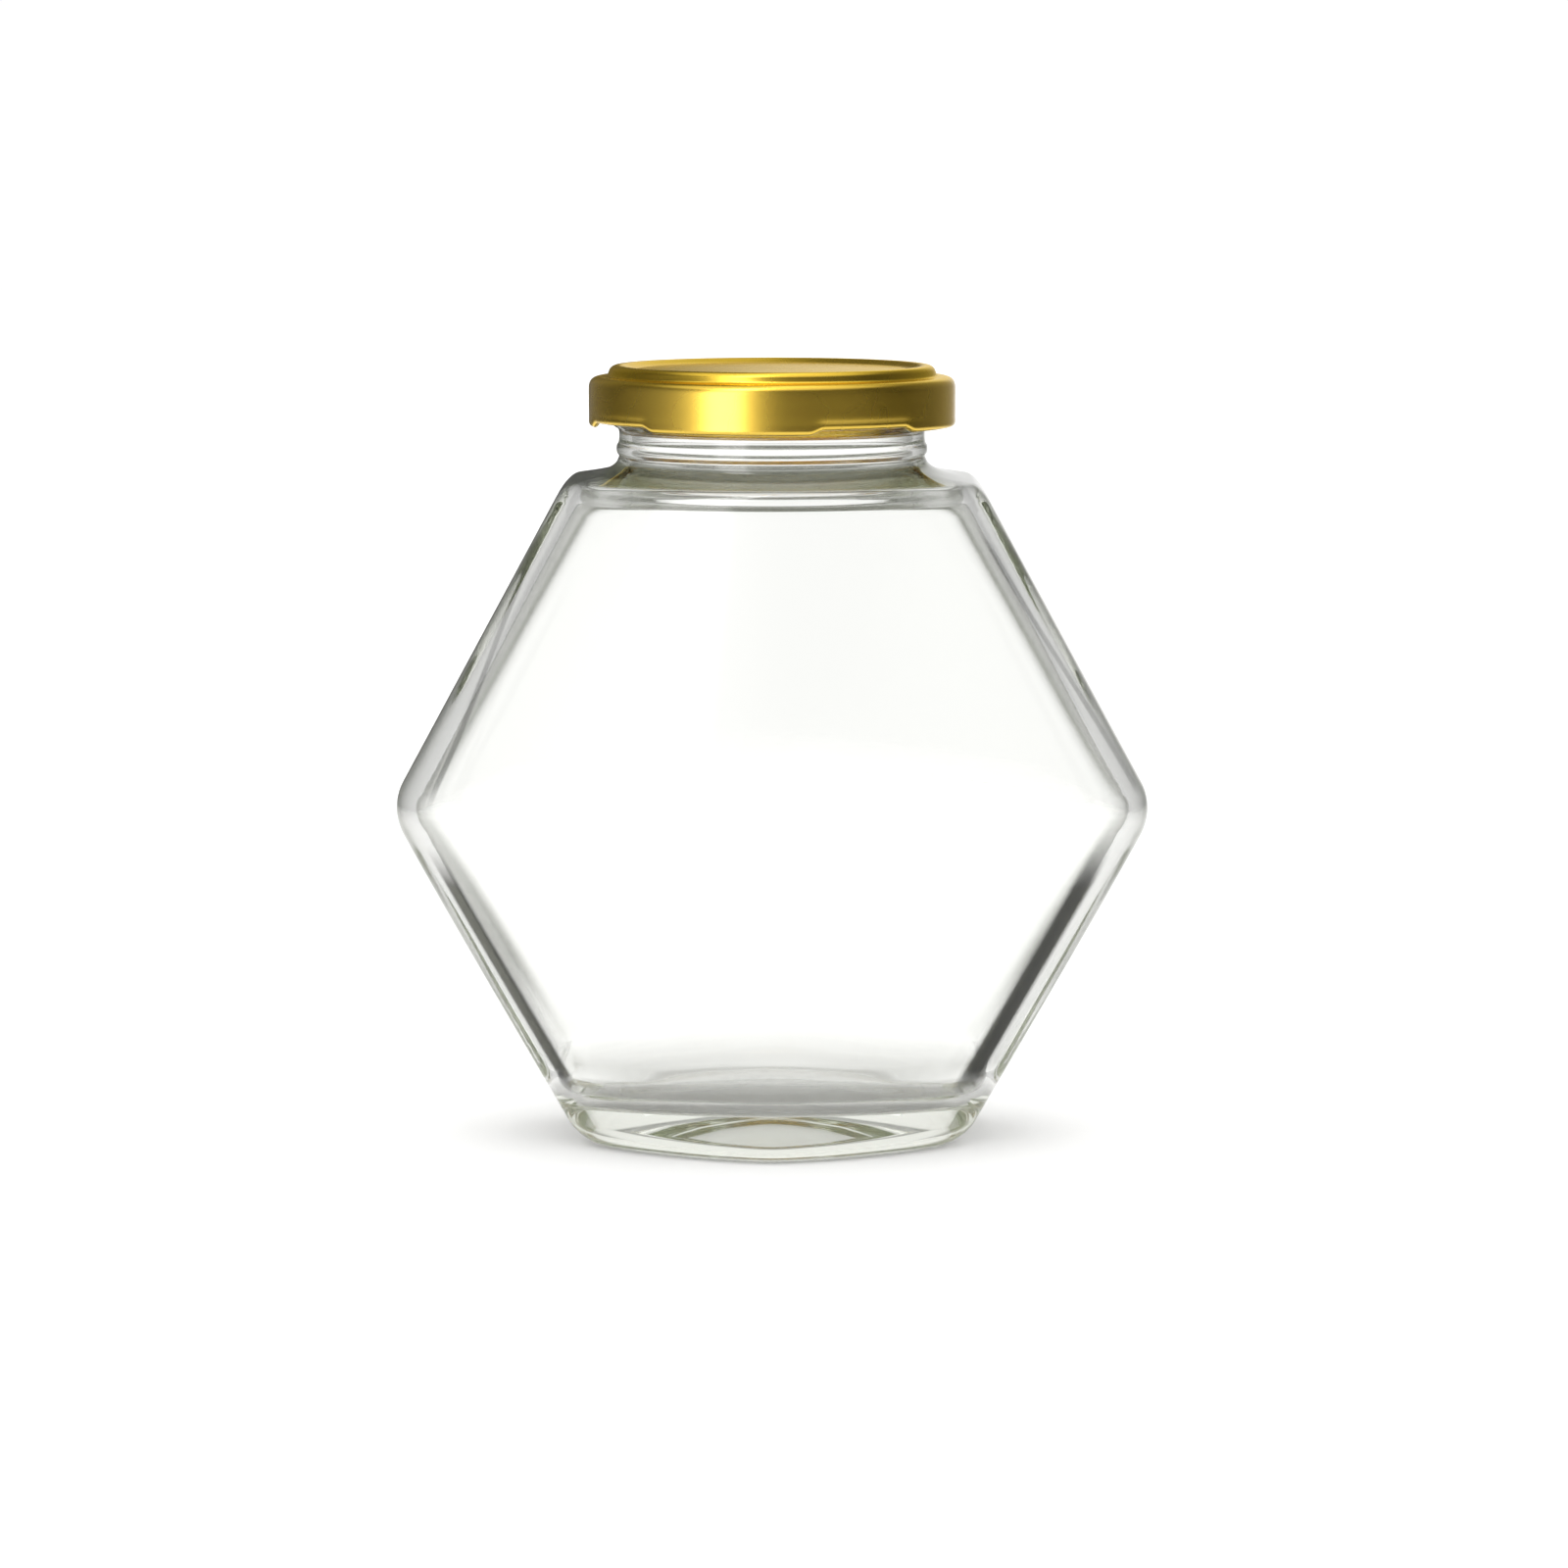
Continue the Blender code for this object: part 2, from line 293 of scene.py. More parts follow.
def jar_outside(form, angles, sharpness):
    """From the middle of the base out to the heel, up the sides, over the shoulder and in to the
    neck. The underside is the foot's outline, scaled along a curve."""
    heel_in = HEEL_SHARE * HEEL_RADIUS
    foot = form.radii(angles, 0.0, heel_in, HEEL_RADIUS, heel_in, sharpness)[0]
    under = smooth_path([
        (0.12, PUSH_UP), (0.45, 0.95), (0.68, 0.56), (0.82, 0.2), (0.89, 0.02), (0.94, 0.0)], 5)
    parts = [as_rings(angles, under[:, :1] * foot[None, :], under[:, 1:])]
    turn = np.radians(np.linspace(0.0, 90.0, 15))
    z = HEEL_RADIUS * (1.0 - np.cos(turn))
    drawn = HEEL_RADIUS * (1.0 - np.sin(turn))
    heel = form.radii(angles, z, HEEL_SHARE * drawn, drawn, HEEL_SHARE * drawn, sharpness)
    parts.append(as_rings(angles, heel, z[:, None]))
    middle, corner, top = form.height / 2, CORNER_RADIUS / 2, form.height - SHOULDER_RADIUS
    z = np.concatenate([
        np.linspace(HEEL_RADIUS, middle - corner, 26)[1:-1],
        np.linspace(middle - corner, middle + corner, 15),
        np.linspace(middle + corner, top, 26)[1:],
    ])
    parts.append(as_rings(angles, form.radii(angles, z, 0.0, 0.0, 0.0, sharpness), z[:, None]))
    turn = np.radians(np.linspace(0.0, 82.0, 12)[1:])
    z = top + SHOULDER_RADIUS * np.sin(turn)
    drawn = SHOULDER_RADIUS * (1.0 - np.cos(turn))
    rim = form.radii(angles, z, SHOULDER_SHARE * drawn, drawn, SHOULDER_SHARE * drawn, sharpness)
    parts.append(as_rings(angles, rim, z[:, None]))
    slope = smooth_path(
        [(0.0, z[-1]), (0.4, 111.5), (0.72, 112.3), (0.92, 113.3), (1.0, 114.4)], 6)[1:]
    share = slope[:, :1]
    parts.append(as_rings(angles, rim[-1:] * (1 - share) + NECK_RADIUS * share, slope[:, 1:]))
    return np.concatenate(parts)


def jar_finish(angles):
    """A profile carried round the neck. Each point has a radius, a height, and how far it follows
    a thread ramp outwards and upwards. The ramp climbs with the angle."""
    profile = smooth_path([
        (25.6, 114.7, 0, 0), (25.95, 115.3, 0, 0), (25.95, 116.3, 0, 0), (25.6, 117.1, 0, 0),
        (25.6, 118.9, 0, 0), (26.4, 119.6, 0, 0), (27.0, 120.2, 0, 0), (27.0, 121.2, 0, 0.8),
        (27.0, 121.5, 0.35, 1), (27.0, 121.95, 0.85, 1), (27.0, 122.5, 1, 1), (27.0, 123.3, 1, 1),
        (27.0, 123.9, 0.6, 1), (27.0, 124.5, 0, 0.8), (27.0, 126.6, 0, 0), (26.7, 127.4, 0, 0),
        (26.0, 128.0, 0, 0), (25.2, 128.3, 0, 0), (24.4, 128.2, 0, 0), (23.8, 127.8, 0, 0),
        (23.5, 127.0, 0, 0),
    ], 4)
    ramp = window(angles, THREAD_SPAN, math.radians(12))[None, :]
    climb = THREAD_FALL * offset_from_lug(angles)[None, :] / THREAD_SPAN * ramp
    radii = profile[:, :1] + (THREAD_RADIUS - FINISH_RADIUS) * ramp * profile[:, 2:3]
    return as_rings(angles, radii, profile[:, 1:2] + climb * profile[:, 3:4])


def jar_inside(form, angles, sharpness):
    """Down the bore, out under the shoulder, down the inner walls and in over the floor. The walls
    carry slow waves, 0.035 sin(0.21 z + 2 sin 3a) sin(5a + 0.07 z) millimetres at height z and
    angle a, as blown glass has where no mould touched it."""
    spread = 2.2 * form.wall_front

    def walls(z):
        return form.radii(angles, z, form.wall_sides, form.wall_front, spread, sharpness)

    top = form.height - 3.6
    roof = walls(np.array([top]))
    bore = np.linspace(126.0, 115.0, 10)
    parts = [as_rings(angles, np.full((len(bore), len(angles)), BORE_RADIUS), bore[:, None])]
    curve = smooth_path([
        (0.0, 114.4), (0.1, 112.0), (0.3, 110.6), (0.62, 109.6), (0.88, 108.8), (1.0, top)], 7)
    share = curve[:, :1]
    parts.append(as_rings(angles, BORE_RADIUS + share * (roof - BORE_RADIUS), curve[:, 1:]))
    middle, corner = form.height / 2, (CORNER_RADIUS - form.wall_sides) / 2
    floor = form.base + INNER_HEEL_RADIUS
    z = np.concatenate([
        np.linspace(top, middle + corner, 30)[1:-1],
        np.linspace(middle + corner, middle - corner, 13),
        np.linspace(middle - corner, floor, 30)[1:],
    ])
    rows = z[:, None]
    fade = np.clip(np.minimum(top - rows, rows - floor) / 12.0, 0.0, 1.0)
    slow = np.sin(0.21 * rows + 2.0 * np.sin(3.0 * angles))
    wave = 0.035 * slow * np.sin(5.0 * angles + 0.07 * rows)
    parts.append(as_rings(angles, walls(z) + fade * wave, rows))
    wall = walls(np.array([floor]))
    turn = np.radians(np.linspace(0.0, 90.0, 16)[1:])[:, None]
    drawn = INNER_HEEL_RADIUS * (1.0 - np.cos(turn))
    sunk = floor - INNER_HEEL_RADIUS * np.sin(turn)
    heel = wall - drawn * (1.0 - 0.1 * np.cos(angles)[None, :] ** 2)
    parts.append(as_rings(angles, heel, sunk))
    share = np.linspace(1.0, 0.08, 14)[1:, None]
    crown = form.base + FLOOR_CROWN * (1.0 - share ** 2)
    parts.append(as_rings(angles, heel[-1:] * share, crown))
    return np.concatenate(parts)


def jar_surface(settings):
    """One closed surface: the outside, the finish and the inside, each row of points round the
    axis. The points crowd towards the slanted sides by the angle a - 0.3 sin 2a."""
    form = JarForm(settings)
    even = np.linspace(0.0, 2.0 * math.pi, JAR_COLUMNS, endpoint=False)
    angles = even - 0.3 * np.sin(2.0 * even)
    grid = np.concatenate([
        jar_outside(form, angles, OUTER_SHARPNESS),
        jar_finish(angles),
        jar_inside(form, angles, INNER_SHARPNESS),
    ])
    grid[..., 2] = np.maximum(grid[..., 2], 0.0)
    floor_middle = (0.0, 0.0, form.base + FLOOR_CROWN)
    body = mesh_from_grid("jar_body", grid, (0.0, 0.0, PUSH_UP), floor_middle)
    fading = ease((STIPPLED_ROWS - np.arange(len(grid))) / STIPPLE_FADE)
    stipple = np.concatenate([np.repeat(fading, len(angles)), [1.0, 0.0]])
    body.data.attributes.new("stipple", "FLOAT", "POINT").data.foreach_set("value", stipple)
    return body


def lid_surface(settings):
    """A profile carried round the axis: panel, raised ring, skirt, curl and the underside. Each
    point has a radius, a height, and how far it follows a lug inwards and upwards."""
    even = np.linspace(0.0, 2.0 * math.pi, LID_COLUMNS, endpoint=False)
    notch = window(even, math.radians(34), math.radians(5))[None, :]
    tongue = window(even, math.radians(22), math.radians(7))[None, :]
    top, under = LID_PANEL_TOP, LID_PANEL_UNDERSIDE
    r = settings.radius / MM
    profile = smooth_path([
        (3.0, top, 0, 0), (14.0, top, 0, 0), (21.6, top, 0, 0), (22.9, 129.02, 0, 0),
        (23.9, 129.28, 0, 0), (24.8, 129.58, 0, 0), (25.7, 129.69, 0, 0), (26.5, 129.55, 0, 0),
        (27.05, 129.1, 0, 0), (27.3, 128.55, 0, 0), (27.55, 128.1, 0, 0), (28.1, 127.88, 0, 0),
        (29.1, 127.8, 0, 0), (29.75, 127.6, 0, 0), (30.25, 127.2, 0, 0), (r - 0.06, 126.55, 0, 0),
        (r, 125.7, 0, 0), (r, 124.2, 0, 0), (r, 122.4, 0, 0.1), (r - 0.02, 121.2, 0, 0.6),
        (r, 120.6, 0, 1), (r - 0.02, 120.2, 0, 1), (r - 0.2, 119.8, 0, 1),
        (r - 0.6, 119.6, 0.1, 1), (r - 1.02, 119.76, 1, 1), (r - 1.22, 120.15, 1, 1),
        (r - 1.06, 120.55, 1, 1), (r - 0.75, 120.85, 0.2, 1), (r - 0.55, 121.5, 0, 0.6),
        (r - 0.5, 122.6, 0, 0), (r - 0.5, 126.2, 0, 0), (r - 0.85, 126.9, 0, 0),
        (r - 1.5, 127.25, 0, 0), (27.6, 127.4, 0, 0), (26.95, 127.75, 0, 0), (26.75, 128.4, 0, 0),
        (26.4, 128.95, 0, 0), (25.7, 129.18, 0, 0), (24.6, 129.0, 0, 0), (23.4, 128.6, 0, 0),
        (22.4, under, 0, 0), (14.0, under, 0, 0), (3.0, under, 0, 0),
    ], 5)[::-1]
    pressed, lifted = profile[:, 2:3], profile[:, 3:4]
    radii = profile[:, :1] - LUG_PRESSED_IN * tongue * pressed - CURL_PULLED_IN * notch * lifted
    grid = as_rings(even, radii, profile[:, 1:2] + CURL_LIFT * notch * lifted)
    return mesh_from_grid("lid_shell", grid, (0.0, 0.0, under), (0.0, 0.0, top))


def floor_surface():
    """A flat square grid, eight metres across, just under the jar's base."""
    line = np.linspace(-FLOOR_HALF, FLOOR_HALF, FLOOR_CELLS + 1)
    x, y = np.meshgrid(line, line, indexing="xy")
    points = np.stack([x, y, 0 * x - FLOOR_BELOW], axis=-1).reshape(-1, 3)
    row, column = np.meshgrid(np.arange(FLOOR_CELLS), np.arange(FLOOR_CELLS), indexing="ij")
    here = row * (FLOOR_CELLS + 1) + column
    beyond = here + FLOOR_CELLS + 1
    quads = np.stack([here, here + 1, beyond + 1, beyond], axis=-1).reshape(-1, 4)
    mesh = bpy.data.meshes.new("studio_floor")
    mesh.from_pydata(points.tolist(), [], quads.tolist())
    return place_mesh(mesh)


def plug(links, value, socket):
    """Links the value to the socket if it is a socket too, or else sets it there."""
    if isinstance(value, bpy.types.NodeSocket):
        links.new(value, socket)
    else:
        socket.default_value = value


def math_node(nodes, links, operation, *values):
    node = nodes.new("ShaderNodeMath")
    node.operation = operation
    for value, socket in zip(values, node.inputs):
        plug(links, value, socket)
    return node.outputs[0]


def mix_node(nodes, links, kind, factor, first, second):
    """The first value at factor zero and the second at one."""
    node = nodes.new("ShaderNodeMix")
    node.data_type = kind
    for name, value in (("Factor", factor), ("A", first), ("B", second)):
        plug(links, value, node.inputs[name])
    return node.outputs["Result"]


def range_node(nodes, links, kind, value, start, end, low=0.0, high=1.0):
    """Low up to the start and high past the end, with a line or an S-curve between."""
    node = nodes.new("ShaderNodeMapRange")
    node.interpolation_type = kind
    limits = zip(("From Min", "From Max", "To Min", "To Max"), (start, end, low, high))
    for name, number in limits:
        node.inputs[name].default_value = number
    links.new(value, node.inputs["Value"])
    return node.outputs["Result"]


def ramp_node(nodes, links, factor, stops):
    """A ramp of greys. Its colours are the strengths over RAMP_FULL, so that none is above one."""
    ramp = nodes.new("ShaderNodeValToRGB")
    links.new(factor, ramp.inputs["Fac"])
    elements = ramp.color_ramp.elements
    while len(elements) < len(stops):
        elements.new(0.5)
    for element, (position, value) in zip(elements, stops):
        grey = value / RAMP_FULL
        element.position = position
        element.color = (grey, grey, grey, 1.0)
    return math_node(nodes, links, "MULTIPLY", ramp.outputs["Color"], RAMP_FULL)


def add_bump(nodes, links, shader, height, distance, strength):
    bump = nodes.new("ShaderNodeBump")
    bump.inputs["Distance"].default_value = distance
    bump.inputs["Strength"].default_value = strength
    links.new(height, bump.inputs["Height"])
    links.new(bump.outputs["Normal"], shader.inputs["Normal"])


def fresh_material(name):
    material = bpy.data.materials.new(name)
    material.use_nodes = True
    return material, material.node_tree.nodes, material.node_tree.links


def fine_relief_group():
    """Group: a height from two scales of noise, and the coarse one by itself as a mask."""
    if "fine_relief" in bpy.data.node_groups:
        return bpy.data.node_groups["fine_relief"]
    group = bpy.data.node_groups.new("fine_relief", "ShaderNodeTree")
    face = group.interface
    face.new_socket("Vector", in_out="INPUT", socket_type="NodeSocketVector")
    coarse = face.new_socket("Coarse Scale", in_out="INPUT", socket_type="NodeSocketFloat")
    coarse.default_value = 60.0
    fine = face.new_socket("Fine Scale", in_out="INPUT", socket_type="NodeSocketFloat")
    fine.default_value = 1500.0
    face.new_socket("Height", in_out="OUTPUT", socket_type="NodeSocketFloat")
    face.new_socket("Mask", in_out="OUTPUT", socket_type="NodeSocketFloat")
    nodes, links = group.nodes, group.links
    inside = nodes.new("NodeGroupInput")
    outside = nodes.new("NodeGroupOutput")
    noises = []
    for socket, detail in (("Coarse Scale", 2.0), ("Fine Scale", 3.0)):
        noise = nodes.new("ShaderNodeTexNoise")
        noise.inputs["Detail"].default_value = detail
        links.new(inside.outputs["Vector"], noise.inputs["Vector"])
        links.new(inside.outputs[socket], noise.inputs["Scale"])
        noises.append(noise.outputs["Fac"])
    slow, quick = noises
    fine_share = 0.25
    height = math_node(nodes, links, "MULTIPLY_ADD", quick, fine_share, slow)
    links.new(height, outside.inputs["Height"])
    links.new(slow, outside.inputs["Mask"])
    return group


def place_relief(nodes, links, coordinates, coarse, fine):
    relief = nodes.new("ShaderNodeGroup")
    relief.node_tree = fine_relief_group()
    relief.inputs["Coarse Scale"].default_value = coarse
    relief.inputs["Fine Scale"].default_value = fine
    links.new(coordinates, relief.inputs["Vector"])
    return relief


def painted_glass_shade(nodes, links, place, settings):
    """Two masks of painted shade from object coordinates. One is a dark ring painted on the shoulder.
    The other, on the front half, is a grey strip painted beside the slanted sides with a dark line
    painted in it, and grey shade painted low down by the floor and by the sides. The distance
    inwards is the half width at that height less |x|. A line is one within 0.6 of its breadth from
    its middle, and zero beyond 1.4, with an S-curve between; it is broad in the lower half and thin
    in the upper."""

    def do(operation, *values):
        return math_node(nodes, links, operation, *values)

    def step(value, start, end, low, high):
        return range_node(nodes, links, "SMOOTHSTEP", value, start, end, low, high)

    def line(middle, breadth):
        off = do("ABSOLUTE", do("SUBTRACT", inward, middle))
        return step(do("DIVIDE", off, breadth), 0.6, 1.4, 1.0, 0.0)

    def either(left_value, right_value):
        return mix_node(nodes, links, "FLOAT", right, left_value, right_value)

    split = nodes.new("ShaderNodeSeparateXYZ")
    links.new(place, split.inputs["Vector"])
    height = split.outputs["Z"]
    across = do("ABSOLUTE", split.outputs["X"])
    middle = settings.side * SIN_60
    top = 2.0 * middle
    rise = do("SUBTRACT", height, middle)
    drop = do("MAXIMUM", do("MULTIPLY", rise, SLANT_ABOVE), do("MULTIPLY", rise, -SLANT_BELOW))
    outline = do("SUBTRACT", settings.side + 0.0005, do("ADD", across, drop))
    further_out_below = step(height, middle - 0.006, middle + 0.006, 0.0016, 0.0)
    inward = do("SUBTRACT", outline, further_out_below)
    right = step(split.outputs["X"], -0.001, 0.001, 0.0, 1.0)
    front = step(split.outputs["Y"], -0.015, 0.009, 1.0, 0.0)

    # Painted shade: a dark ring painted on the shoulder, below the neck and away from the slanted
    # sides.
    over_shoulder = step(height, top - 0.0006, top, 0.0, 0.86)
    under_neck = step(height, top + 0.0024, top + 0.0034, 1.0, 0.0)
    off_sides = step(across, 0.026, 0.031, 1.0, 0.0)
    ring = do("MULTIPLY", do("MULTIPLY", over_shoulder, under_neck), off_sides)

    # Painted shade: a grey strip beside the slanted sides, dark lines along them, and grey shade low
    # down by the floor and by the sides, on the front half only.
    strip = do("MULTIPLY", step(inward, 0.0039, 0.0050, 0.3, 0.0),
               step(height, 0.003, 0.007, 0.0, 1.0))
    low = do("MULTIPLY", step(height, 0.007, 0.014, 0.0, 1.0),
             step(height, middle - 0.012, middle - 0.001, 1.0, 0.0))
    lower = do("MULTIPLY", line(either(0.0031, 0.0048), either(0.0013, 0.0020)), low)
    high = do("MULTIPLY", step(height, middle, middle + 0.006, 0.0, 0.7),
              step(height, top - 0.012, top - 0.004, 1.0, 0.0))
    drift = either(step(height, middle, middle + 0.05, 0.0062, 0.0012),
                   step(height, middle, middle + 0.05, 0.0015, 0.0042))
    upper = do("MULTIPLY", line(drift, 0.0005), high)
    by_floor = step(height, 0.012, 0.036, 0.15, 0.0)
    by_side = do("MULTIPLY", step(inward, 0.005, 0.018, 0.12, 0.0),
                 step(height, middle - 0.02, middle, 1.0, 0.0))
    shade = lower
    for one in (upper, strip, by_floor, by_side):
        shade = do("MAXIMUM", shade, one)
    return ring, do("MULTIPLY", shade, front)


def glass_material(settings):
    """Clear soda-lime glass: almost colourless face on, with painted grey shade at grazing angles,
    in a ring on the shoulder and in lines and low down on the front; grey-green over a long path,
    faintly wavy, and stippled underneath."""
    material, nodes, links = fresh_material("clear_glass")
    shader = nodes["Principled BSDF"]
    place = nodes.new("ShaderNodeTexCoord").outputs["Object"]
    facing = nodes.new("ShaderNodeLayerWeight")
    facing.inputs["Blend"].default_value = 0.5
    # Painted shade: grey mixed into the base colour where the surface is seen at a grazing angle,
    # which darkens the glass's edges and outlines.
    grazing = range_node(nodes, links, "SMOOTHSTEP", facing.outputs["Facing"], 0.2, 0.85)
    split = nodes.new("ShaderNodeSeparateXYZ")
    links.new(place, split.inputs["Vector"])
    above_base = range_node(nodes, links, "SMOOTHSTEP", split.outputs["Z"], 0.012, 0.03)
    edge = math_node(nodes, links, "MULTIPLY", grazing, above_base)
    ring, painted_front_shade = painted_glass_shade(nodes, links, place, settings)
    path = nodes.new("ShaderNodeLightPath")
    # The painted shades (grazing grey, shoulder ring, front lines and low grey) are mixed in only on
    # paths with no diffuse bounce, so they cast no shadow.
    unscattered = math_node(nodes, links, "LESS_THAN", path.outputs["Diffuse Depth"], 0.5)
    shade = CLEAR
    for amount, grey in ((edge, PAINTED_EDGE_SHADE), (ring, PAINTED_RING_SHADE), (painted_front_shade, PAINTED_FRONT_SHADE)):
        amount = math_node(nodes, links, "MULTIPLY", amount, unscattered)
        shade = mix_node(nodes, links, "RGBA", amount, shade, grey)
    links.new(shade, shader.inputs["Base Color"])
    stipple = nodes.new("ShaderNodeAttribute")
    stipple.attribute_name = "stipple"
    rough = math_node(nodes, links, "MULTIPLY", stipple.outputs["Fac"], 0.3)
    links.new(rough, shader.inputs["Roughness"])
    shader.inputs["Transmission Weight"].default_value = 1.0
    shader.inputs["IOR"].default_value = 1.5
    absorption = nodes.new("ShaderNodeVolumeAbsorption")
    absorption.inputs["Color"].default_value = (*settings.tint, 1.0)
    absorption.inputs["Density"].default_value = 12.0
    links.new(absorption.outputs["Volume"], nodes["Material Output"].inputs["Volume"])
    relief = place_relief(nodes, links, place, 45.0, 160.0)
    add_bump(nodes, links, shader, relief.outputs["Height"], 0.00003, 0.6)
    return material


def lacquer_material(settings):
    """Gold lacquer on tinplate: a metal tinted by the lacquer, satin, with faint orange peel and
    rubbed spots, glossier on the skirt than on the panel."""
    material, nodes, links = fresh_material("gold_lacquer")
    shader = nodes["Principled BSDF"]
    shader.inputs["Metallic"].default_value = 1.0
    shader.inputs["Specular Tint"].default_value = (1.0, 0.88, 0.45, 1.0)
    shader.inputs["Coat Roughness"].default_value = 0.15
    place = nodes.new("ShaderNodeTexCoord").outputs["Object"]
    split = nodes.new("ShaderNodeSeparateXYZ")
    links.new(place, split.inputs["Vector"])
    coat = range_node(nodes, links, "LINEAR", split.outputs["Z"], 0.1268, 0.1278, 0.75, 0.08)
    links.new(coat, shader.inputs["Coat Weight"])
    relief = place_relief(nodes, links, place, 130.0, 1100.0)
    spots = relief.outputs["Mask"]
    rough, spread = settings.roughness, 0.04
    satin = range_node(nodes, links, "LINEAR", spots, 0.0, 1.0, rough - spread, rough + spread)
    links.new(satin, shader.inputs["Roughness"])
    red, green, blue = settings.lacquer
    rubbed = (red * 0.93, green * 0.9, blue * 0.85, 1.0)
    colour = mix_node(nodes, links, "RGBA", spots, (red, green, blue, 1.0), rubbed)
    links.new(colour, shader.inputs["Base Color"])
    add_bump(nodes, links, shader, relief.outputs["Height"], 0.0000015, 0.12)
    return material


def floor_material(settings):
    """Matt white paper with a trace of tooth. Polished faces see only the round of it near the
    jar."""
    material, nodes, links = fresh_material("white_floor")
    shader = nodes["Principled BSDF"]
    shader.inputs["Base Color"].default_value = (*settings.floor, 1.0)
    shader.inputs["Roughness"].default_value = 0.85
    shader.inputs["Specular IOR Level"].default_value = 0.2
    place = nodes.new("ShaderNodeTexCoord").outputs["Object"]
    tooth = nodes.new("ShaderNodeTexNoise")
    tooth.inputs["Scale"].default_value = 900.0
    links.new(place, tooth.inputs["Vector"])
    add_bump(nodes, links, shader, tooth.outputs["Fac"], 0.00004, 0.3)
    away = nodes.new("ShaderNodeVectorMath")
    away.operation = "LENGTH"
    links.new(place, away.inputs[0])
    far = range_node(nodes, links, "LINEAR", away.outputs["Value"], 0.25, 0.6)
    path = nodes.new("ShaderNodeLightPath")
    hide = math_node(nodes, links, "MULTIPLY", far, path.outputs["Is Glossy Ray"])
    clear = nodes.new("ShaderNodeBsdfTransparent")
    both = nodes.new("ShaderNodeMixShader")
    links.new(hide, both.inputs["Fac"])
    links.new(shader.outputs["BSDF"], both.inputs[1])
    links.new(clear.outputs["BSDF"], both.inputs[2])
    links.new(both.outputs["Shader"], nodes["Material Output"].inputs["Surface"])
    return material


def studio_world(settings):
    """White to the camera. What the glass shows is white low down and grey above, and nearer white
    after a reflection inside it. What polished faces reflect is dim, with one tall softbox and a
    light overhead. What lights the floor comes mostly from overhead."""
    world = bpy.data.worlds.new("studio")
    bpy.context.scene.world = world
    world.use_nodes = True
    nodes, links = world.node_tree.nodes, world.node_tree.links

    def do(operation, *values):
        return math_node(nodes, links, operation, *values)

    split = nodes.new("ShaderNodeSeparateXYZ")
    place = nodes.new("ShaderNodeTexCoord")
    links.new(place.outputs["Generated"], split.inputs["Vector"])
    east, north, up = (split.outputs[axis] for axis in "XYZ")
    height = do("MULTIPLY_ADD", up, 0.5, 0.5)
    turn = do("ADD", do("DIVIDE", do("ARCTAN2", east, north), 2.0 * math.pi), 0.5)
    box = settings.softbox
    around = ramp_node(nodes, links, turn, [
        (0.0, 0.33), (0.02, 0.5), (0.045, 1.0), (0.06, box), (0.11, box), (0.125, 1.2),
        (0.15, 0.75), (0.175, 0.48), (0.205, 0.33), (0.24, 0.22), (0.28, 0.13), (0.32, 0.08),
        (0.37, 0.14), (0.44, 0.2), (0.497, 0.06), (0.4995, 1.0), (0.53, 1.0), (0.56, 0.4),
        (0.605, 0.25), (0.667, 0.13), (0.75, 0.04), (0.8, 0.06), (0.85, 0.13), (0.93, 0.14),
        (0.98, 0.2), (1.0, 0.33)])
    by_height = ramp_node(nodes, links, height, REFLECTED_BY_HEIGHT)
    overhead = ramp_node(nodes, links, height, REFLECTED_OVERHEAD)
    reflected = do("ADD", do("MULTIPLY", around, by_height), overhead)
    lighting = ramp_node(nodes, links, height, [
        (0.0, 1.2), (0.5, 1.1), (0.7, 1.2), (0.85, 0.87 * settings.ceiling),
        (1.0, settings.ceiling)])
    path = nodes.new("ShaderNodeLightPath")
    turned_inside = do("GREATER_THAN", path.outputs["Glossy Depth"], 0.5)
    nearer_white = do("MULTIPLY", turned_inside, 0.6)
    seen_through = mix_node(
        nodes, links, "FLOAT", nearer_white, ramp_node(nodes, links, height, SEEN_THROUGH), 1.0)
    unscattered = do("LESS_THAN", path.outputs["Diffuse Depth"], 0.5)
    value = lighting
    for chosen, flag in ((reflected, "Is Glossy Ray"), (seen_through, "Is Transmission Ray")):
        share = do("MULTIPLY", path.outputs[flag], unscattered)
        value = mix_node(nodes, links, "FLOAT", share, value, chosen)
    value = mix_node(nodes, links, "FLOAT", path.outputs["Is Camera Ray"], value, 1.02)
    background = nodes["Background"]
    background.inputs["Color"].default_value = (1.0, 1.0, 0.995, 1.0)
    links.new(value, background.inputs["Strength"])


def place_camera():
    """The photograph's view: about 0.94 m off, 7 degrees above the middle, long lens."""
    pixel = PHOTO_PIXEL * MM
    elevation = math.radians(2.9) + 415.0 / CAMERA_AWAY
    target = Vector((TARGET_RIGHT * pixel, 0.0, TARGET_UP * pixel))
    towards = Vector((0.0, -math.cos(elevation), math.sin(elevation)))
    data = bpy.data.cameras.new("photo_camera")
    data.sensor_width = SENSOR_WIDTH
    data.lens = SENSOR_WIDTH * CAMERA_AWAY / PHOTO_WIDTH
    data.clip_start = 0.01
    data.clip_end = 20.0
    camera = bpy.data.objects.new("photo_camera", data)
    camera.location = target + towards * CAMERA_AWAY * pixel
    camera.rotation_euler = (target - camera.location).to_track_quat("-Z", "Y").to_euler()
    bpy.context.scene.collection.objects.link(camera)
    bpy.context.scene.camera = camera


class JAR_OT_glass(bpy.types.Operator):
    """Makes the glass body with its neck, finish and hollow, in place of the solid"""
    bl_idname = "jar.glass"
    bl_label = "Glass Body"

    def execute(self, context):
        settings = context.scene.jar_glass
        body = jar_surface(settings)
        body.data.materials.append(glass_material(settings))
        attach(body, "root")
        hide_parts("jar_glass")
        return {"FINISHED"}


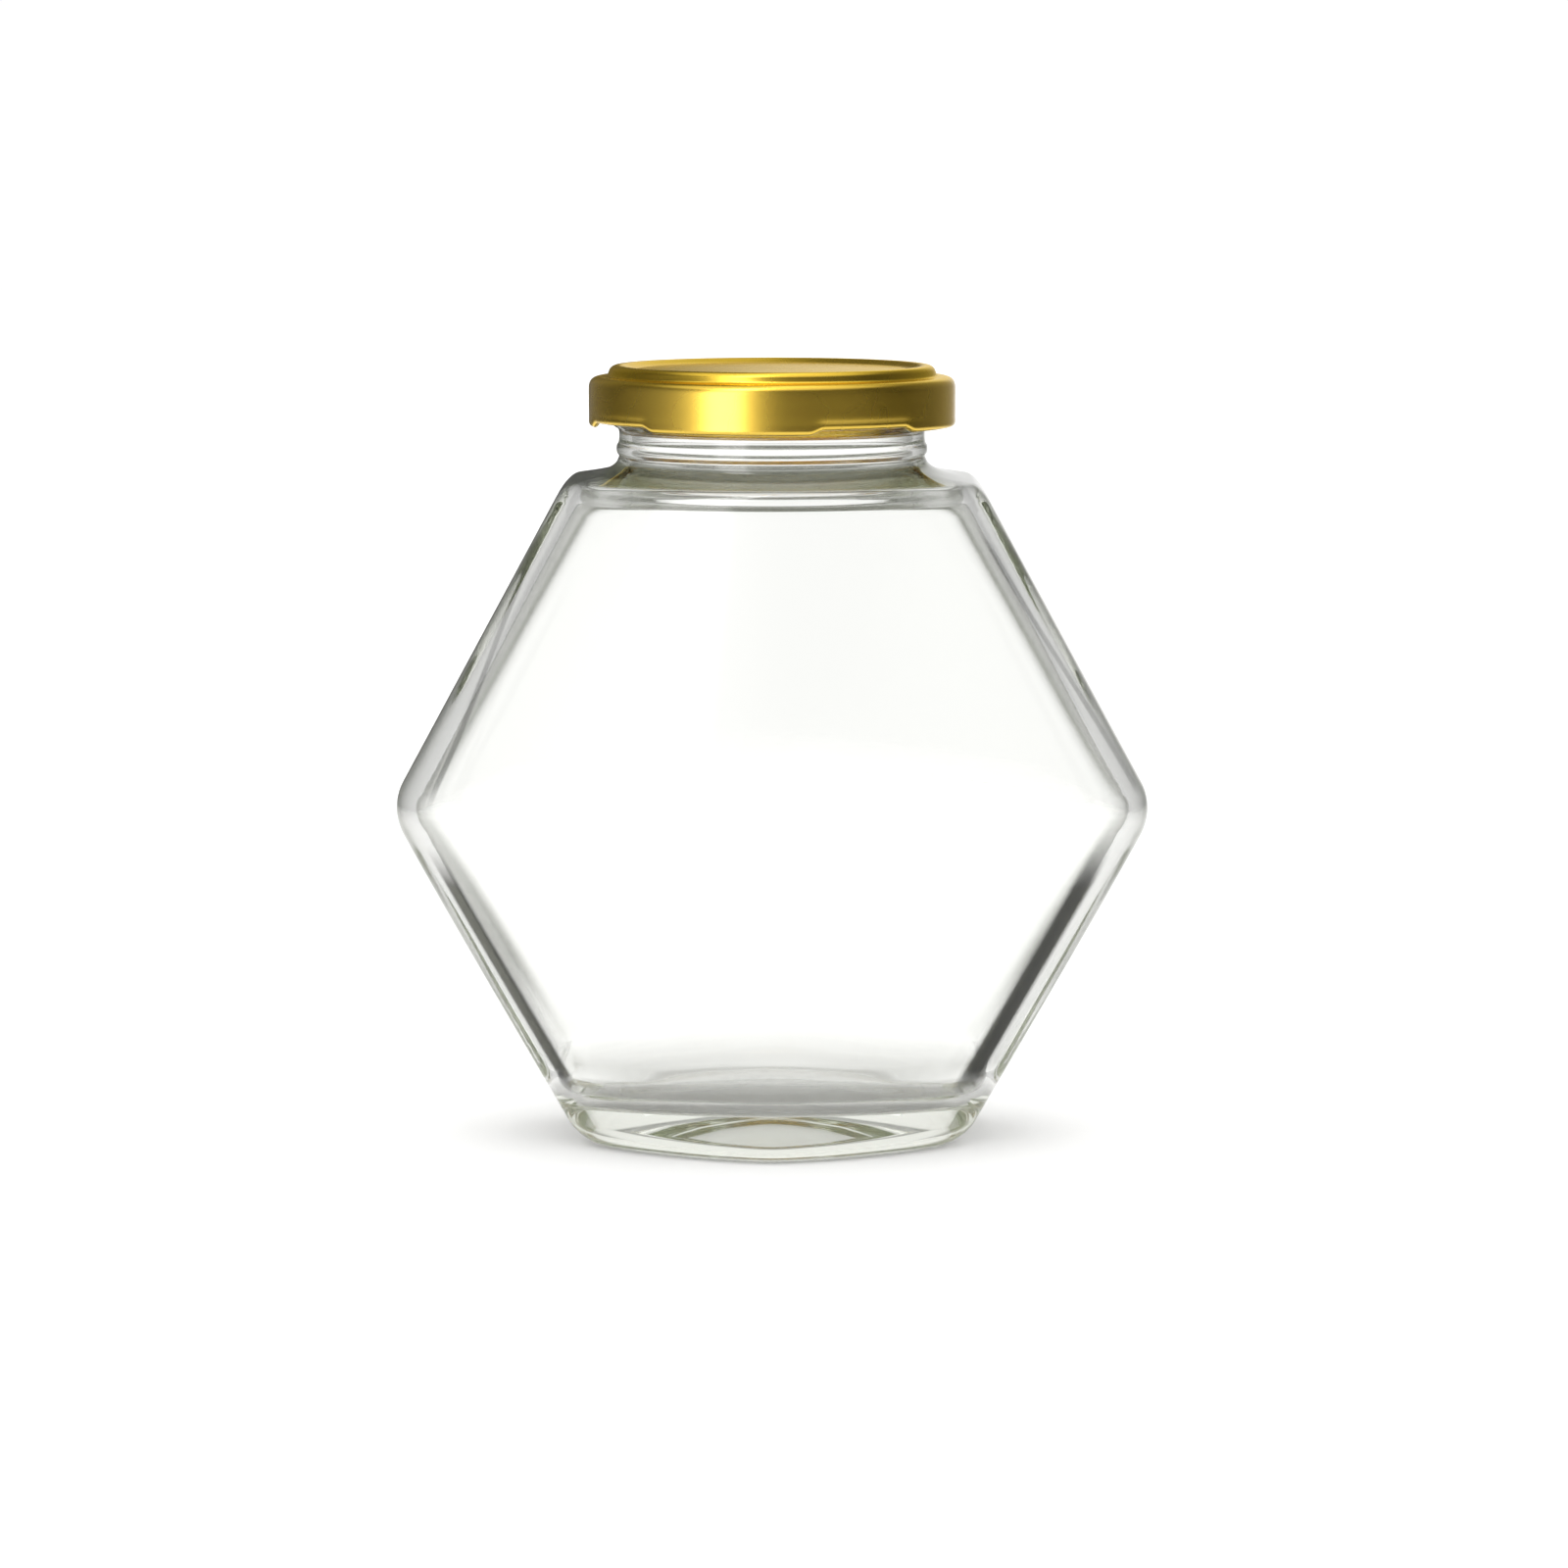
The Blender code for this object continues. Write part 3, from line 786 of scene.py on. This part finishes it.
class JAR_OT_lid(bpy.types.Operator):
    """Makes the gold lid with its raised ring, curl and lugs, in place of the solid"""
    bl_idname = "jar.lid"
    bl_label = "Lug Lid"

    def execute(self, context):
        settings = context.scene.jar_lid
        shell = lid_surface(settings)
        shell.data.materials.append(lacquer_material(settings))
        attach(shell, "root")
        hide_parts("lid")
        return {"FINISHED"}


class JAR_OT_stage(bpy.types.Operator):
    """Makes the pale floor, the soft studio light and the camera"""
    bl_idname = "jar.stage"
    bl_label = "Studio"

    def execute(self, context):
        settings = context.scene.jar_stage
        floor = floor_surface()
        floor.data.materials.append(floor_material(settings))
        studio_world(settings)
        place_camera()
        scene = context.scene
        scene.view_settings.view_transform = "Standard"
        # Light that runs down inside a wall is turned many times before it comes out.
        scene.cycles.max_bounces = 80
        scene.cycles.transmission_bounces = 64
        scene.cycles.glossy_bounces = 64
        return {"FINISHED"}


class JAR_PT_panel(bpy.types.Panel):
    """Sizes, colours and the buttons that make the jar"""
    bl_label = "Hexagonal Jar"
    bl_idname = "JAR_PT_panel"
    bl_space_type = "VIEW_3D"
    bl_region_type = "UI"
    bl_category = "Jar"

    def draw(self, context):
        for piece in ("glass", "lid", "stage"):
            box = self.layout.box()
            settings = getattr(context.scene, "jar_" + piece)
            for name in settings.bl_rna.properties.keys():
                if name not in ("rna_type", "name"):
                    box.prop(settings, name)
            box.operator("jar." + piece)


CLASSES = (
    JarGlassSettings, LidSettings, StageSettings,
    JAR_OT_glass, JAR_OT_lid, JAR_OT_stage, JAR_PT_panel)


def register():
    for one in CLASSES:
        bpy.utils.register_class(one)
    bpy.types.Scene.jar_glass = bpy.props.PointerProperty(type=JarGlassSettings)
    bpy.types.Scene.jar_lid = bpy.props.PointerProperty(type=LidSettings)
    bpy.types.Scene.jar_stage = bpy.props.PointerProperty(type=StageSettings)


def unregister():
    for name in ("jar_stage", "jar_lid", "jar_glass"):
        delattr(bpy.types.Scene, name)
    for one in reversed(CLASSES):
        bpy.utils.unregister_class(one)


def main():
    register()
    bpy.ops.jar.glass()
    bpy.ops.jar.lid()
    bpy.ops.jar.stage()


if __name__ == "__main__":
    main()
